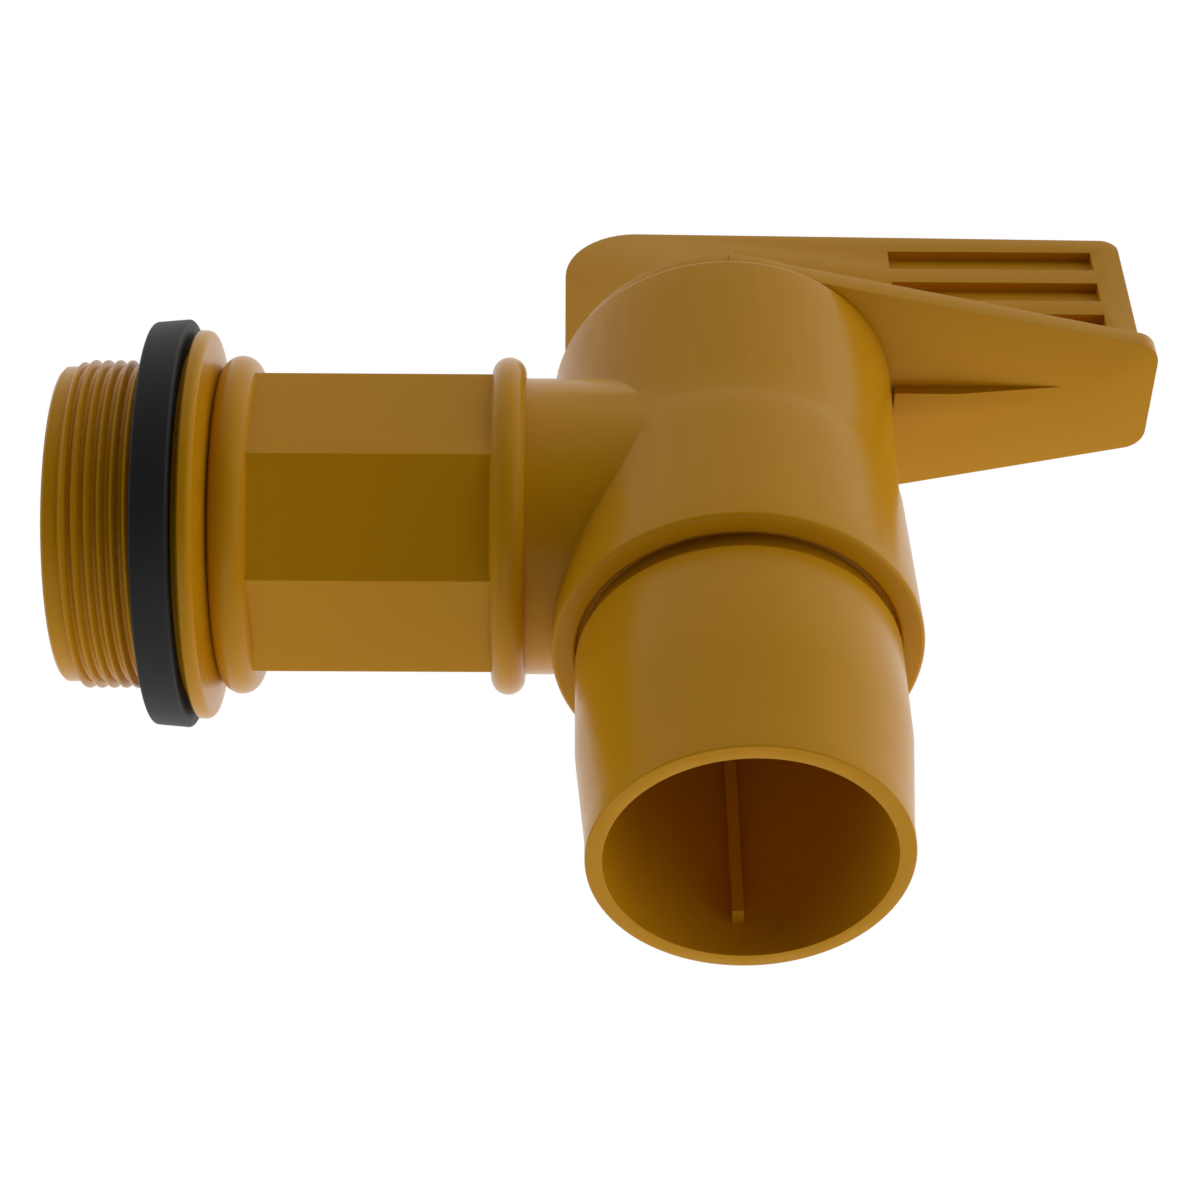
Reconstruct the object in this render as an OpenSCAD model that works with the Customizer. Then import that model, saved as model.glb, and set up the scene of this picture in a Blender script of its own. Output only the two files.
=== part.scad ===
// Drum tap: a moulded tee body, a hollow plug that turns inside its barrel and
// ends in the spout, and a paddle handle on top that turns the plug.
// Millimetres. The arm lies along X on z = 0, with its thread toward -X. The
// gasket seats on the plane x = 0. The plug turns about the upright axis.

/* [Inlet thread and gasket] */
// Diameter of the waterway at the inlet
inlet_bore_d = 47; // [40:0.5:50]
// Core diameter of the inlet thread
thread_core_d = 57.4; // [56:0.1:58.5]
// Length of the spigot in front of the gasket seat
spigot_length = 22.9; // [18:0.1:30]
// Length of the run-out groove under the gasket
runout_length = 7.4; // [6.8:0.1:9]
// Depth of the run-out groove
runout_depth = 0.5; // [0.2:0.1:1]
// Outer diameter of the gasket at the flange side
gasket_d = 74.4; // [66:0.1:80]
// Bore of the gasket
gasket_bore_d = 60.4; // [59.9:0.1:62]
// Thickness of the gasket
gasket_thickness = 6.6; // [3:0.1:8]
// How much smaller the gasket is at its free face
gasket_taper = 1; // [0:0.1:3]
// Diameter of the collar that the gasket seats on
collar_d = 64; // [61:0.5:68]
// Height of that collar over the flange
collar_length = 1.2; // [0.6:0.1:2]
// Diameter of the flange
flange_d = 70.8; // [66:0.1:74]
// Thickness of the flange at its rim
flange_thickness = 2.8; // [2:0.1:4]

/* [Arm] */
// Size across the flats of the octagon
octagon_flats = 53.4; // [50:0.1:57]
// Length of the octagon between the beads
octagon_length = 42; // [30:0.5:60]
// Distance from the gasket seat to the octagon
octagon_start = 12.45; // [10:0.05:20]
// Diameter over the beads
bead_d = 61.65; // [60:0.05:66]
// Width of the bead beside the flange
first_bead_width = 6.8; // [4:0.1:8]
// Width of the bead beside the neck
second_bead_width = 6.15; // [4:0.05:8]
// Diameter of the neck that runs into the barrel
neck_d = 54.1; // [50:0.1:56]
// Diameter of the waterway inside the arm
arm_bore_d = 44; // [38:0.5:47]
// Diameter of the port into the barrel
port_d = 37; // [30:0.5:40]

/* [Barrel] */
// Distance from the gasket seat to the axis of the barrel
barrel_x = 98.05; // [90:0.05:120]
// Height of the barrel over the axis of the arm
barrel_top = 38.3; // [36:0.1:45]
// Depth of the barrel under the axis of the arm
barrel_foot = 33.07; // [32:0.01:40]
// Diameter of the barrel at its foot
foot_d = 65.34; // [64:0.02:70]
// Diameter of the barrel just under its waist
under_waist_d = 63.56; // [60:0.02:68]
// Diameter of the barrel just over its waist
over_waist_d = 62.6; // [60:0.02:68]
// Diameter of the barrel at its head
head_d = 64.8; // [62:0.02:70]
// Bore of the barrel
barrel_bore_d = 57; // [54:0.1:60]
// Bore of the lip at the head that keeps the plug down
lip_bore_d = 52.6; // [48:0.1:55]
// Thickness of that lip
lip_thickness = 2.8; // [2:0.1:5]

/* [Plug and spout] */
// Gap between the plug and the bore of the barrel
plug_gap = 0.08; // [0.02:0.01:0.1]
// Inside diameter of the plug and spout
spout_bore_d = 48.3; // [44:0.1:50]
// Distance from the axis of the arm down to the mouth
spout_length = 80.8; // [70:0.1:120]
// Depth of the shoulder under the axis of the arm
shoulder_depth = 35.7; // [34:0.1:45]
// Outer diameter of the spout under the shoulder
spout_d = 57.1; // [54:0.1:60]
// Outer diameter of the spout at its mouth
mouth_d = 54; // [52:0.1:58]
// Depth where the spout begins to narrow
taper_start = 57; // [50:0.5:70]
// Depth where the spout ends narrowing
taper_end = 76; // [60:0.5:80]
// Diameter of the neck between the barrel and the spout
throat_d = 54.6; // [52:0.1:56]
// Height of the ceiling inside the plug
plug_ceiling = 33.4; // [30:0.1:34]
// Thickness of the rib inside the spout
rib_thickness = 2; // [1:0.1:4]
// Depth of the rib inside the spout
rib_depth = 3; // [1:0.1:5]
// Depth of the rib's lower end under the axis of the arm
rib_end = 73.6; // [50:0.1:78]

/* [Seals] */
// Section diameter of the ring seals
ring_section_d = 2.7; // [2:0.1:4]
// Height of the upper ring seal
upper_ring_z = 29.6; // [28:0.1:31]
// Height of the lower ring seal
lower_ring_z = -28; // [-29:0.1:-26]
// Diameter of the groove floor of the ring seals
ring_floor_d = 51.9; // [50:0.1:54]
// Inner diameter of the port seal
port_seal_bore_d = 38.6; // [37:0.1:42]
// Outer diameter of the port seal
port_seal_d = 43; // [40:0.1:46]
// Depth of the port seal in the wall of the barrel
port_seal_depth = 1.3; // [0.8:0.1:2]

/* [Handle] */
// Thickness of the handle plate
plate_thickness = 3.9; // [3:0.1:6]
// Diameter of the disc over the barrel
disc_d = 60.92; // [56:0.02:66]
// Half width of the paddle, carried back to the plug's axis
paddle_root = 30.96; // [26:0.02:31]
// How much the paddle narrows on each side per millimetre of length
paddle_narrowing = 0.2287; // [0:0.0001:0.35]
// Reach of the paddle from the plug's axis
paddle_reach = 83.2; // [60:0.1:100]
// Corner radius of the paddle
paddle_corner = 4.5; // [1:0.1:6]
// Thickness of the upright fin
fin_thickness = 6; // [4:0.1:8]
// Height of the fin's top over the arm's axis, at its rear
fin_top = 86.55; // [60:0.05:95]
// Fall of the fin's top over its length
fin_fall = 1.15; // [0:0.05:3]
// Reach of the fin behind the plug's axis
fin_rear = 30.4; // [20:0.1:30.4]
// Reach of the fin along the paddle
fin_front = 82.5; // [50:0.1:83]
// Radius of the fin's rear corner
fin_rear_corner = 14.5; // [2:0.5:20]
// Radius of the fin's front corner
fin_front_corner = 3.5; // [1:0.5:15]
// Number of grip grooves on each side
groove_count = 4; // [0:1:4]
// Height of a grip groove
groove_height = 5.9; // [2:0.1:8]
// Distance from one grip groove to the next
groove_pitch = 10.3; // [8:0.1:12]
// Depth of a grip groove
groove_depth = 2.1; // [0.5:0.1:2.5]
// Top of the first grip groove over the arm's axis
groove_top = 81.2; // [60:0.1:84]
// Depth of the rib under the paddle
under_rib_depth = 2.4; // [1:0.1:4]
// Thickness of the rib under the paddle
under_rib_thickness = 5; // [3:0.1:8]

/* [Drive, stop and fixing] */
// Side of the square boss that drives the plug
drive_square = 20; // [14:0.5:26]
// How far the square boss stands in the handle plate
drive_depth = 1.9; // [1:0.1:3]
// Gap between the handle and the head of the barrel
handle_gap = 0.1; // [0.05:0.05:0.3]
// Quarter turn of the handle, in degrees
handle_turn = 90; // [80:1:100]
// Width of the stop lug, in degrees
lug_angle = 20; // [10:1:40]
// Slack of the stop lug at each end of the turn, in degrees
lug_slack = 1.5; // [0.5:0.5:4]
// Shank diameter of the screw
screw_d = 3.5; // [3:0.1:4]
// Length of the screw under its head
screw_length = 20; // [12:1:30]
// Diameter of the screw's head
screw_head_d = 7.6; // [6:0.1:9]
// Height of the screw's head
screw_head_height = 2.6; // [2:0.1:4]
// Outer diameter of the washer
washer_d = 11; // [9:0.5:14]
// Thickness of the washer
washer_thickness = 1; // [0.5:0.1:2]

/* [Hidden] */
$fn = 96;

ochre = "#A9803A";
ochre_shade = "#9C7433";
black_rubber = "#2B2B2B";
steel = "#B9BCBE";

gasket_lift = 0.25;     // the loose gasket rides this much high on the spigot
past = 1;               // how far a cut runs past the surface it opens
fine = 0.05;            // side clearance of a seal in its groove
edge = 0.4;             // small chamfer on a moulded edge
lead_in = 0.5;          // chamfer at the thread's first turn
rim_round = 0.9;        // rounding of the barrel's foot and head
flange_round = 1.3;     // rounding of the flange toward the bead
bead_gap_depth = 2.2;   // depth of the valley between flange and first bead
inlet_depth = 12;       // how far the wide inlet waterway reaches past the seat
port_length = 32;       // length of the narrow port before the plug's axis
waist_rise = 3;         // height over which the waist changes diameter
throat_start = 31.2;    // depth where the plug narrows to the throat
throat_chamfer = 0.5;   // chamfer over the shoulder of the spout
mouth_round = 0.35;     // rounding of the mouth's outer edge
rib_offset = -0.7;      // the inner rib stands this far off the centre plane
ring_groove_width = 3.4;
ring_squeeze_gap = 0.04; // gap between a ring seal and the barrel bore
seal_gap = 0.05;        // gap between the port seal and the plug
recess_in = 57.6;       // inner diameter of the stop recess
recess_out = 61.2;      // outer diameter of the stop recess
recess_depth = 2.4;     // depth of the stop recess
lug_gap = 0.2;          // gap around the stop lug
lug_centre = 35;        // direction of the stop lug at rest, in degrees
groove_start = 35.2;    // where the grip grooves begin, from the plug's axis
groove_end = 76.7;      // where they end
under_rib_start = 33;   // where the under rib begins, from the plug's axis
under_rib_level = 45;   // where it begins to run out
under_rib_end = 65.6;   // where it has run out
screw_hole_d = 4.4;     // clearance hole in the plug and the washer
pilot_d = 3.54;         // hole for the screw in the handle

octagon_end = octagon_start + octagon_length;
bead_1_x = octagon_start - first_bead_width / 2;
bead_2_x = octagon_end + second_bead_width / 2;
flange_end = collar_length + flange_thickness;
flange_r = flange_d / 2;
plug_d = barrel_bore_d - 2 * plug_gap;
lip_floor = barrel_top - lip_thickness;
plug_head = lip_floor - handle_gap;
plate_floor = barrel_top + handle_gap;
plate_top = plate_floor + plate_thickness;
drive_top = plate_floor + drive_depth;
hub_d = lip_bore_d - 2 * handle_gap;
seal_floor_d = barrel_bore_d + 2 * port_seal_depth;

// Points of an arc in a profile, from one direction to another
function arc(cx, cy, r, from, to, steps = 9) =
    [for (i = [0 : steps]) let (a = from + (to - from) * i / steps) [cx + r * cos(a), cy + r * sin(a)]];

// Rounded crest of a bead at distance x along the arm
function bead(x, width) = arc(bead_d / 2 - width / 2, x, width / 2, -90, 90, 18);

module along_x() {
    rotate([0, 90, 0]) children();
}

module plug_axis() {
    translate([barrel_x, 0, 0]) children();
}

module tube(outer_d, inner_d, from, to) {
    translate([0, 0, from]) difference() {
        cylinder(d = outer_d, h = to - from);
        translate([0, 0, -past]) cylinder(d = inner_d, h = to - from + 2 * past);
    }
}

// Sector between two directions, for parts of a turn
module sector(outer_d, inner_d, from_z, to_z, from_a, to_a) {
    rotate([0, 0, from_a]) rotate_extrude(angle = to_a - from_a)
        polygon([[inner_d / 2, from_z], [outer_d / 2, from_z], [outer_d / 2, to_z], [inner_d / 2, to_z]]);
}

// Turned outline of the arm: spigot, collar, flange, beads and neck
module arm_outside() {
    along_x() rotate_extrude() polygon(concat(
        [[0, -spigot_length], [thread_core_d / 2 - lead_in, -spigot_length],
         [thread_core_d / 2, -spigot_length + lead_in], [thread_core_d / 2, -runout_length],
         [thread_core_d / 2 - runout_depth, -runout_length], [thread_core_d / 2 - runout_depth, 0],
         [collar_d / 2, 0], [collar_d / 2, collar_length],
         [flange_r - edge, collar_length], [flange_r, collar_length + edge]],
        arc(flange_r - flange_round, flange_end - flange_round, flange_round, 0, 90),
        [[bead_d / 2 - bead_gap_depth, bead_1_x - first_bead_width / 2 - edge / 2]],
        bead(bead_1_x, first_bead_width),
        [[octagon_flats / 2 - edge, octagon_start], [octagon_flats / 2 - edge, octagon_end]],
        bead(bead_2_x, second_bead_width),
        [[neck_d / 2, octagon_end + second_bead_width], [neck_d / 2, barrel_x], [0, barrel_x]]));
    translate([bead_1_x, 0, 0]) rotate([22.5, 0, 0]) along_x()
        cylinder(d = octagon_flats / cos(22.5), h = bead_2_x - bead_1_x, $fn = 8);
}

module barrel_outside() {
    plug_axis() rotate_extrude() polygon(concat(
        [[0, -barrel_foot]],
        arc(foot_d / 2 - rim_round, -barrel_foot + rim_round, rim_round, -90, 0),
        [[under_waist_d / 2, -waist_rise / 2], [over_waist_d / 2, waist_rise]],
        arc(head_d / 2 - rim_round, barrel_top - rim_round, rim_round, 0, 90),
        [[0, barrel_top]]));
}

module waterway() {
    along_x() rotate_extrude() polygon([
        [0, -spigot_length - past], [inlet_bore_d / 2, -spigot_length - past],
        [inlet_bore_d / 2, inlet_depth], [arm_bore_d / 2, inlet_depth + 2],
        [arm_bore_d / 2, octagon_end + second_bead_width],
        [port_d / 2, barrel_x - port_length], [port_d / 2, barrel_x], [0, barrel_x]]);
}

module barrel_inside() {
    plug_axis() {
        rotate_extrude() polygon([
            [0, -barrel_foot - past], [barrel_bore_d / 2 + edge + past, -barrel_foot - past],
            [barrel_bore_d / 2, -barrel_foot + edge], [barrel_bore_d / 2, lip_floor],
            [lip_bore_d / 2, lip_floor], [lip_bore_d / 2, barrel_top + past], [0, barrel_top + past]]);
        sector(recess_out, recess_in, barrel_top - recess_depth, barrel_top + past,
               lug_centre - lug_angle / 2 - lug_slack, lug_centre + handle_turn + lug_angle / 2 + lug_slack);
    }
}

// Saddle-shaped ring around the port, on the wall of the barrel
module saddle(outer_d, inner_d, near_d, far_d) {
    intersection() {
        along_x() tube(outer_d, inner_d, barrel_x - far_d / 2 - past, barrel_x);
        plug_axis() tube(far_d, near_d, -outer_d, outer_d);
    }
}

module body() {
    color(ochre) difference() {
        union() {
            arm_outside();
            barrel_outside();
        }
        waterway();
        barrel_inside();
        saddle(port_seal_d + 2 * fine, port_seal_bore_d - 2 * fine, barrel_bore_d - past, seal_floor_d);
    }
}

module inlet_gasket() {
    color(black_rubber) translate([0, 0, gasket_lift]) along_x() rotate_extrude() polygon([
        [gasket_bore_d / 2, -gasket_thickness], [(gasket_d - gasket_taper) / 2 - edge, -gasket_thickness],
        [(gasket_d - gasket_taper) / 2, -gasket_thickness + edge], [gasket_d / 2, -edge],
        [gasket_d / 2 - edge, 0], [gasket_bore_d / 2, 0]]);
}

module port_seal() {
    color(black_rubber)
        saddle(port_seal_d, port_seal_bore_d, plug_d + 2 * seal_gap, seal_floor_d);
}

// Groove of a ring seal, cut into the plug
module ring_groove(z) {
    tube(plug_d + 2 * past, ring_floor_d, z - ring_groove_width / 2, z + ring_groove_width / 2);
}

module plug_outside() {
    rotate_extrude() polygon(concat(
        [[0, -spout_length]],
        arc(mouth_d / 2 - mouth_round, -spout_length + mouth_round, mouth_round, -90, 0, 4),
        [[mouth_d / 2, -taper_end], [spout_d / 2, -taper_start],
         [spout_d / 2, -shoulder_depth - throat_chamfer], [spout_d / 2 - throat_chamfer, -shoulder_depth],
         [throat_d / 2, -shoulder_depth], [throat_d / 2, -throat_start - throat_chamfer],
         [plug_d / 2, -throat_start], [plug_d / 2, plug_head - edge], [plug_d / 2 - edge, plug_head],
         [hub_d / 2, plug_head], [hub_d / 2, barrel_top], [0, barrel_top]]));
}

module plug_spout() {
    color(ochre_shade) plug_axis() {
        difference() {
            union() {
                plug_outside();
                drive_boss();
            }
            translate([0, 0, -spout_length - past])
                cylinder(d = spout_bore_d, h = plug_ceiling + spout_length + past);
            translate([-barrel_x, 0, 0]) along_x() cylinder(d = port_d, h = barrel_x);
            ring_groove(upper_ring_z);
            ring_groove(lower_ring_z);
            translate([0, 0, plug_ceiling - past])
                cylinder(d = screw_hole_d, h = drive_top - plug_ceiling + 2 * past);
        }
        plug_rib();
    }
}

// Upright rib on the far wall inside the plug and the spout
module plug_rib() {
    intersection() {
        translate([rib_offset - rib_thickness / 2, spout_bore_d / 2 - rib_depth, -rib_end])
            cube([rib_thickness, rib_depth + past, rib_end + plug_ceiling + past]);
        translate([0, 0, -spout_length]) cylinder(d = spout_bore_d + past, h = 2 * spout_length);
    }
}

// Square boss on the plug's head that carries the handle
module drive_boss() {
    translate([-drive_square / 2, -drive_square / 2, barrel_top - past])
        cube([drive_square, drive_square, drive_top - barrel_top + past]);
}

// Ring seal, pressed flat against the floor of its groove
module ring_seal(z) {
    mid_d = (ring_floor_d + barrel_bore_d - 2 * ring_squeeze_gap) / 2;
    intersection() {
        translate([0, 0, z]) rotate_extrude() translate([mid_d / 2, 0]) circle(d = ring_section_d, $fn = 32);
        tube(barrel_bore_d - 2 * ring_squeeze_gap, ring_floor_d, z - ring_section_d, z + ring_section_d);
    }
}

module upper_o_ring() {
    color(black_rubber) plug_axis() ring_seal(upper_ring_z);
}

module lower_o_ring() {
    color(black_rubber) plug_axis() ring_seal(lower_ring_z);
}

// Paddle seen from above: straight narrowing sides and rounded corners
module paddle_outline() {
    slope = atan(paddle_narrowing);
    corner_x = paddle_reach - paddle_corner;
    corner_y = paddle_root - paddle_narrowing * corner_x - paddle_corner / cos(slope);
    polygon(concat(
        [[0, -paddle_root]],
        arc(corner_x, -corner_y, paddle_corner, slope - 90, 0),
        arc(corner_x, corner_y, paddle_corner, 0, 90 - slope),
        [[0, paddle_root]]));
}

// Fin seen from the side, with round upper corners
module fin_outline() {
    polygon(concat(
        [[-fin_rear, plate_top - past]],
        [[fin_front, plate_top - past]],
        arc(fin_front - fin_front_corner, fin_top - fin_fall - fin_front_corner, fin_front_corner, 0, 90),
        arc(-fin_rear + fin_rear_corner, fin_top - fin_rear_corner, fin_rear_corner, 90, 180, 12)));
}

module fin() {
    translate([0, fin_thickness / 2, 0]) rotate([90, 0, 0])
        linear_extrude(fin_thickness) fin_outline();
}

module grip_grooves() {
    for (i = [0 : groove_count - 1], side = [0, 1])
        mirror([0, side, 0])
            translate([groove_start, fin_thickness / 2 - groove_depth,
                       groove_top - groove_height - i * groove_pitch])
                cube([groove_end - groove_start, groove_depth + past, groove_height]);
}

// Rib along the underside of the paddle, running out toward its end
module under_rib() {
    translate([0, under_rib_thickness / 2, plate_floor]) rotate([90, 0, 0])
        linear_extrude(under_rib_thickness) polygon([
            [under_rib_start, past], [under_rib_start, -under_rib_depth],
            [under_rib_level, -under_rib_depth], [under_rib_end, 0], [under_rib_end, past]]);
}

module stop_lug() {
    sector(recess_out - 2 * lug_gap, recess_in + 2 * lug_gap,
           barrel_top - recess_depth + lug_gap, plate_floor + past,
           lug_centre - lug_angle / 2, lug_centre + lug_angle / 2);
}

module handle() {
    color(ochre) plug_axis() difference() {
        union() {
            translate([0, 0, plate_floor]) linear_extrude(plate_thickness) paddle_outline();
            translate([0, 0, plate_floor]) cylinder(d = disc_d, h = plate_thickness);
            fin();
            under_rib();
            stop_lug();
        }
        grip_grooves();
        translate([-drive_square / 2 - fine, -drive_square / 2 - fine, plate_floor - past])
            cube([drive_square + 2 * fine, drive_square + 2 * fine, drive_depth + past]);
        translate([0, 0, plate_floor])
            cylinder(d = pilot_d, h = plug_ceiling - washer_thickness + screw_length - plate_floor + past);
    }
}

module handle_screw() {
    head_top = plug_ceiling - washer_thickness;
    color(steel) plug_axis() difference() {
        union() {
            translate([0, 0, head_top - screw_head_height]) cylinder(d = screw_head_d, h = screw_head_height);
            translate([0, 0, head_top]) cylinder(d = screw_d, h = screw_length);
        }
        for (a = [0, 90]) rotate([0, 0, a])
            translate([-screw_d * 0.6, -screw_d * 0.17, head_top - screw_head_height - past])
                cube([screw_d * 1.2, screw_d * 0.34, screw_head_height * 0.6 + past]);
    }
}

module screw_washer() {
    color(steel) plug_axis()
        tube(washer_d, screw_hole_d, plug_ceiling - washer_thickness, plug_ceiling);
}

body();
inlet_gasket();
port_seal();
plug_spout();
upper_o_ring();
lower_o_ring();
handle();
handle_screw();
screw_washer();
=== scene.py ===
"""Drum tap: looks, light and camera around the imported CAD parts."""
import math

import bmesh
import bpy
from mathutils import Matrix, Vector


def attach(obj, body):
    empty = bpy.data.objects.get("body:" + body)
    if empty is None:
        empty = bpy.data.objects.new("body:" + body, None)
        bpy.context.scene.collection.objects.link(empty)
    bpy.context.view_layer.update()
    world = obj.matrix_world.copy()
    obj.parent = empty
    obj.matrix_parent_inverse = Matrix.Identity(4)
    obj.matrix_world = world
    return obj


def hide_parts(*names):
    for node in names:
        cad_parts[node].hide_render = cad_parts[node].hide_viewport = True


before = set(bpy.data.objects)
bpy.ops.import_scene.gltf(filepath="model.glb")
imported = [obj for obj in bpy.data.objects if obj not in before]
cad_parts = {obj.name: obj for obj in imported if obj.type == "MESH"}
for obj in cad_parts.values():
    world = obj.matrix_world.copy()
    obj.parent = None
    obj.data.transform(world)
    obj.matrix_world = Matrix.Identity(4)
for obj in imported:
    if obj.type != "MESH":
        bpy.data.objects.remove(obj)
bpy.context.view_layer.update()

MM = 0.001


# Small helpers for meshes and node trees

def linear(hex_colour):
    """An sRGB hex colour as the linear RGBA that Blender's sockets take."""
    channels = [int(hex_colour[i:i + 2], 16) / 255 for i in (1, 3, 5)]
    return [c / 12.92 if c <= 0.04045 else ((c + 0.055) / 1.055) ** 2.4 for c in channels] + [1.0]


def add_node(tree, kind, settings=None, links=None):
    """Adds a node, sets its properties and input values, and links its inputs to other nodes' outputs."""
    node = tree.nodes.new(kind)
    for key, value in (settings or {}).items():
        if isinstance(key, str) and hasattr(node, key):
            setattr(node, key, value)
        else:
            node.inputs[key].default_value = value
    for key, source in (links or {}).items():
        tree.links.new(source, node.inputs[key])
    return node


def new_piece(name, bm, body, material, smooth_angle=32):
    """Turns a bmesh into an object that rides on a CAD body, shaded smooth up to an angle in degrees."""
    mesh = bpy.data.meshes.new(name)
    limit = math.radians(smooth_angle)
    for face in bm.faces:
        face.smooth = True
    for edge in bm.edges:
        edge.smooth = len(edge.link_faces) == 2 and edge.calc_face_angle(0) < limit
    bm.to_mesh(mesh)
    bm.free()
    mesh.materials.append(material)
    piece = bpy.data.objects.new(name, mesh)
    bpy.context.scene.collection.objects.link(piece)
    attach(piece, body)
    return piece


def softened_copy(node, sharp_angle, width, segments=3):
    """A merged copy of a CAD node's mesh with its sharp edges rounded by a bevel of that width in millimetres."""
    bm = bmesh.new()
    bm.from_mesh(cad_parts[node].data)
    bmesh.ops.remove_doubles(bm, verts=bm.verts, dist=0.001 * MM)
    bmesh.ops.dissolve_limit(bm, angle_limit=math.radians(0.3), verts=bm.verts, edges=bm.edges)
    sharp = [e for e in bm.edges if len(e.link_faces) == 2 and e.calc_face_angle(0) > math.radians(sharp_angle)]
    bmesh.ops.bevel(bm, geom=sharp, affect="EDGES", offset=width * MM, offset_type="OFFSET", segments=segments,
                    profile=0.5, material=-1, clamp_overlap=True)
    return bm


# Camera at the photograph's viewpoint: in front of the tap and well below it, looking up

CAMERA_PLACE = Vector((67.06, -339.25, -377.74)) * MM
CAMERA_LENS, SENSOR_WIDTH = 83.12, 36.0
CAMERA_YAW, CAMERA_PITCH, CAMERA_ROLL = (math.radians(a) for a in (1.1718, 46.5544, -0.5581))


def add_camera():
    data = bpy.data.cameras.new("camera")
    data.sensor_width = SENSOR_WIDTH
    data.lens = CAMERA_LENS
    data.clip_start = 0.01
    yaw, pitch, roll = CAMERA_YAW, CAMERA_PITCH, CAMERA_ROLL
    forward = Vector((math.sin(yaw) * math.cos(pitch), math.cos(yaw) * math.cos(pitch), math.sin(pitch)))
    level = Vector((math.cos(yaw), -math.sin(yaw), 0.0))
    upright = level.cross(forward)
    right = math.cos(roll) * level + math.sin(roll) * upright
    up = math.cos(roll) * upright - math.sin(roll) * level
    camera = bpy.data.objects.new("camera", data)
    camera.matrix_world = Matrix.Translation(CAMERA_PLACE) @ \
        Matrix((right, up, -forward)).transposed().to_4x4()
    bpy.context.scene.collection.objects.link(camera)
    bpy.context.scene.camera = camera


# Materials

def principled(name):
    """A new material with one Principled shader on its output."""
    material = bpy.data.materials.new(name)
    material.use_nodes = True
    tree = material.node_tree
    tree.nodes.clear()
    shader = add_node(tree, "ShaderNodeBsdfPrincipled")
    add_node(tree, "ShaderNodeOutputMaterial", links={"Surface": shader.outputs["BSDF"]})
    return material, shader


def moulded_polypropylene(name, colour):
    """Injection-moulded polypropylene, satin: soft broad highlights."""
    material, shader = principled(name)
    shader.inputs["Base Color"].default_value = linear(colour)
    shader.inputs["Roughness"].default_value = 0.27
    shader.inputs["IOR"].default_value = 1.49
    shader.inputs["Specular IOR Level"].default_value = 0.2
    shader.inputs["Specular Tint"].default_value = linear("#FFFAE6")
    return material


def plain_finish(name, colour, roughness):
    """One colour at one roughness: matt rubber and paint, or a duller or brighter plated metal."""
    material, shader = principled(name)
    shader.inputs["Base Color"].default_value = linear(colour)
    shader.inputs["Roughness"].default_value = roughness
    shader.inputs["IOR"].default_value = 1.5
    return material


OCHRE = moulded_polypropylene("moulded_polypropylene_ochre", "#CC9010")
RUBBER = plain_finish("moulded_nitrile_rubber", "#1C1C1C", 0.6)
STEEL = plain_finish("zinc_plated_steel", "#B9BCBE", 0.3)

add_camera()

# Pieces

body_shell = new_piece("tap_body_shell", softened_copy("body", 35, 0.35), "tap_body", OCHRE)
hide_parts("body")
spout_shell = new_piece("spout_shell", softened_copy("plug_spout", 35, 0.3), "plug_and_handle", OCHRE)
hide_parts("plug_spout")
handle_shell = new_piece("handle_shell", softened_copy("handle", 35, 0.5), "plug_and_handle", OCHRE)
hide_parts("handle")
gasket_ring = new_piece("gasket_ring", softened_copy("inlet_gasket", 35, 0.2), "tap_body", RUBBER)
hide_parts("inlet_gasket")

for node, material in (("port_seal", RUBBER), ("upper_o_ring", RUBBER), ("lower_o_ring", RUBBER),
                       ("handle_screw", STEEL), ("screw_washer", STEEL)):
    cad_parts[node].data.materials.clear()
    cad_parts[node].data.materials.append(material)


# Thread of the inlet: one right-hand helix on the spigot's core

def helical_thread():
    pitch, steps_per_turn = 2.209, 96
    start_x, end_x = -20.6, -5.4
    first_crest_x, first_crest_angle = -19.794, math.radians(141.4)
    outline = [(-0.92, 28.1), (-0.84, 28.72), (-0.42, 29.58), (-0.22, 29.84), (0.0, 29.9),
               (0.22, 29.84), (0.42, 29.58), (0.84, 28.72), (0.92, 28.1)]
    start_angle = first_crest_angle + (start_x - first_crest_x) / pitch * 2 * math.pi
    turns = (end_x - start_x) / pitch
    steps = round(turns * steps_per_turn)
    bm = bmesh.new()
    ring = [bm.verts.new(((start_x + dx) * MM, r * math.cos(start_angle) * MM, r * math.sin(start_angle) * MM))
            for dx, r in outline]
    edges = [bm.edges.new((a, b)) for a, b in zip(ring, ring[1:] + ring[:1])]
    bmesh.ops.spin(bm, geom=ring + edges, cent=(0, 0, 0), axis=(1, 0, 0), dvec=(turns * pitch / steps * MM, 0, 0),
                   angle=turns * 2 * math.pi, steps=steps, use_merge=False, use_duplicate=False)
    bm.verts.ensure_lookup_table()
    for vert in bm.verts:
        along = vert.co.x / MM
        fade = min(1.0, max(0.0, (along - start_x + 0.4) / 1.8), max(0.0, (end_x + 0.4 - along) / 1.2))
        radius = math.hypot(vert.co.y, vert.co.z)
        wanted = min(radius, (28.2 + (radius / MM - 28.2) * fade) * MM) if radius > 28.2 * MM else radius
        vert.co.y *= wanted / radius
        vert.co.z *= wanted / radius
    bmesh.ops.holes_fill(bm, edges=[e for e in bm.edges if e.is_boundary], sides=len(outline))
    bmesh.ops.recalc_face_normals(bm, faces=bm.faces)
    return bm


new_piece("inlet_thread", helical_thread(), "tap_body", OCHRE, 60)


# Stage: a pale round table far below, a light tent with a dark opening on the camera's side, a white background

TABLE_RADIUS, TABLE_CENTRE = 0.33, (0.067, 0, -0.62)


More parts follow.
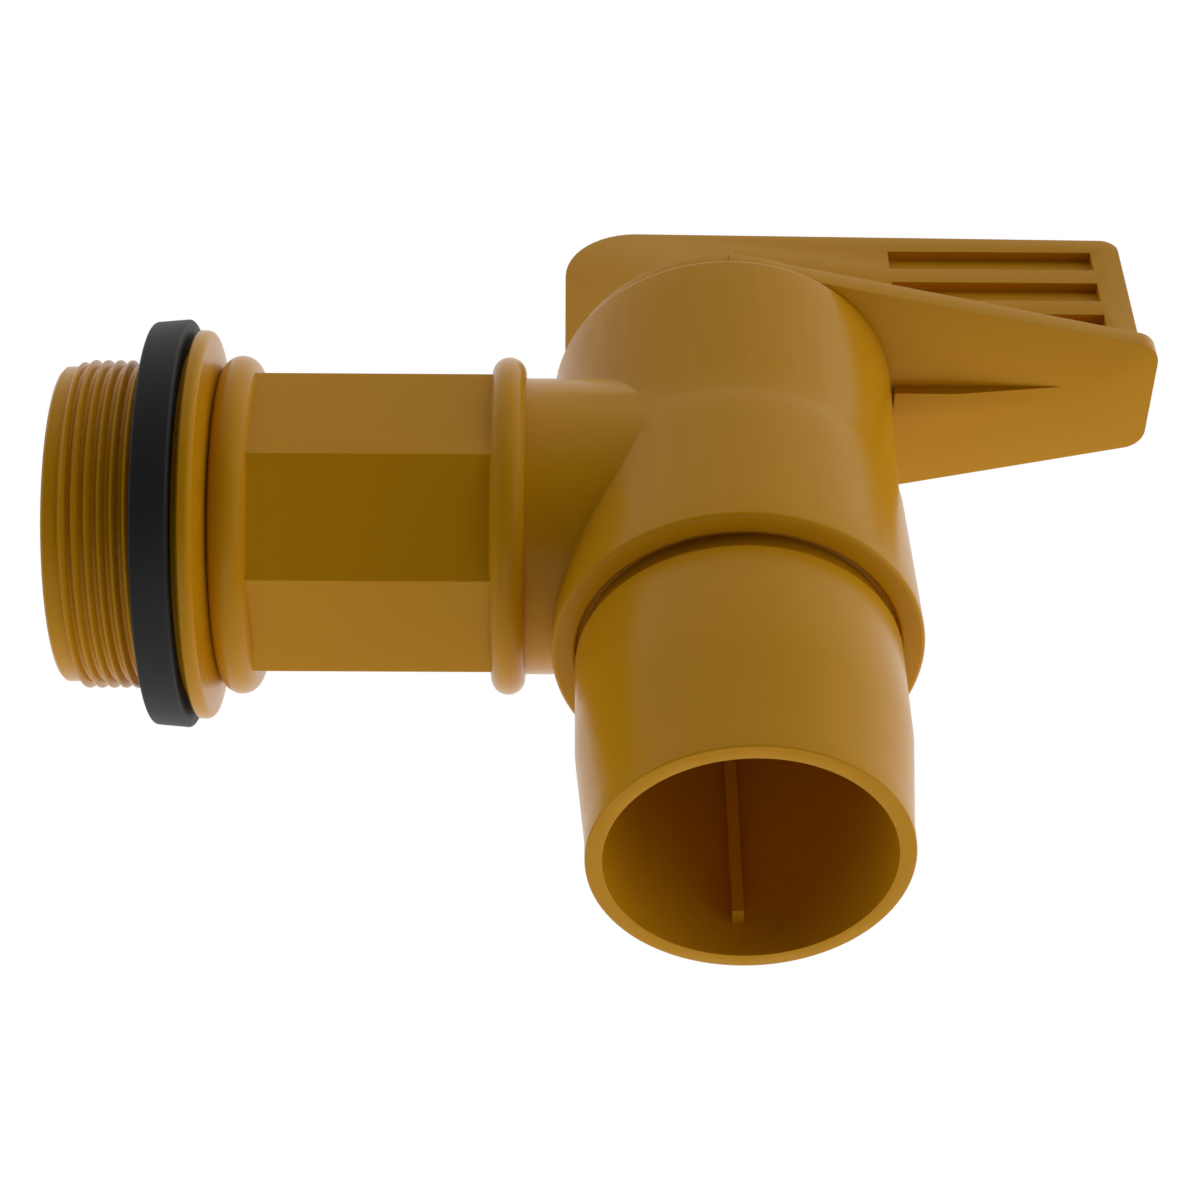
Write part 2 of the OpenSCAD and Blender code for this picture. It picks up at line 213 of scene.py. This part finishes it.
def add_stage():
    bm = bmesh.new()
    bmesh.ops.create_circle(bm, cap_ends=True, cap_tris=False, segments=96, radius=TABLE_RADIUS)
    bmesh.ops.translate(bm, verts=bm.verts, vec=TABLE_CENTRE)
    mesh = bpy.data.meshes.new("table")
    bm.to_mesh(mesh)
    bm.free()
    material, shader = principled("matt_white_table")
    shader.inputs["Base Color"].default_value = linear("#F2F2F2")
    shader.inputs["Roughness"].default_value = 0.9
    mesh.materials.append(material)
    table = bpy.data.objects.new("table", mesh)
    bpy.context.scene.collection.objects.link(table)


def add_world():
    world = bpy.data.worlds.new("light_tent")
    world.use_nodes = True
    tree = world.node_tree
    tree.nodes.clear()
    direction = add_node(tree, "ShaderNodeTexCoord").outputs["Generated"]
    opening = Vector((-0.205, -0.70, -0.684)).normalized()
    away = add_node(tree, "ShaderNodeVectorMath", {"operation": "DOT_PRODUCT", 1: -opening}, {0: direction})
    low = add_node(tree, "ShaderNodeVectorMath", {"operation": "DOT_PRODUCT", 1: (0.0, -0.16, -0.30)}, {0: direction})
    level = add_node(tree, "ShaderNodeMath", {"operation": "ADD", 1: 1.0}, {0: low.outputs["Value"]})
    cloth = add_node(tree, "ShaderNodeMapRange",
                     {"interpolation_type": "SMOOTHSTEP", "From Min": -0.66, "From Max": -0.36, "To Min": 0.0},
                     {"Value": away.outputs["Value"], "To Max": level.outputs["Value"]})
    mirrored = add_node(tree, "ShaderNodeMapRange",
                        {"interpolation_type": "SMOOTHSTEP", "From Min": -0.95, "From Max": 0.9, "To Min": 0.0,
                         "To Max": 1.0}, {"Value": away.outputs["Value"]})
    rays = add_node(tree, "ShaderNodeLightPath")
    shiny = add_node(tree, "ShaderNodeMath", {"operation": "MAXIMUM"},
                     {0: rays.outputs["Is Glossy Ray"], 1: rays.outputs["Is Transmission Ray"]})
    seen = add_node(tree, "ShaderNodeMix", {"data_type": "FLOAT"},
                    {"Factor": shiny.outputs["Value"], "A": cloth.outputs["Result"], "B": mirrored.outputs["Result"]})
    strength = add_node(tree, "ShaderNodeMix", {"data_type": "FLOAT", "B": 1.0},
                        {"Factor": rays.outputs["Is Camera Ray"], "A": seen.outputs["Result"]})
    background = add_node(tree, "ShaderNodeBackground", {"Color": (1, 1, 1, 1)},
                          {"Strength": strength.outputs["Result"]})
    add_node(tree, "ShaderNodeOutputWorld", links={"Surface": background.outputs["Background"]})
    bpy.context.scene.world = world


add_stage()
add_world()
bpy.context.scene.view_settings.view_transform = "Standard"
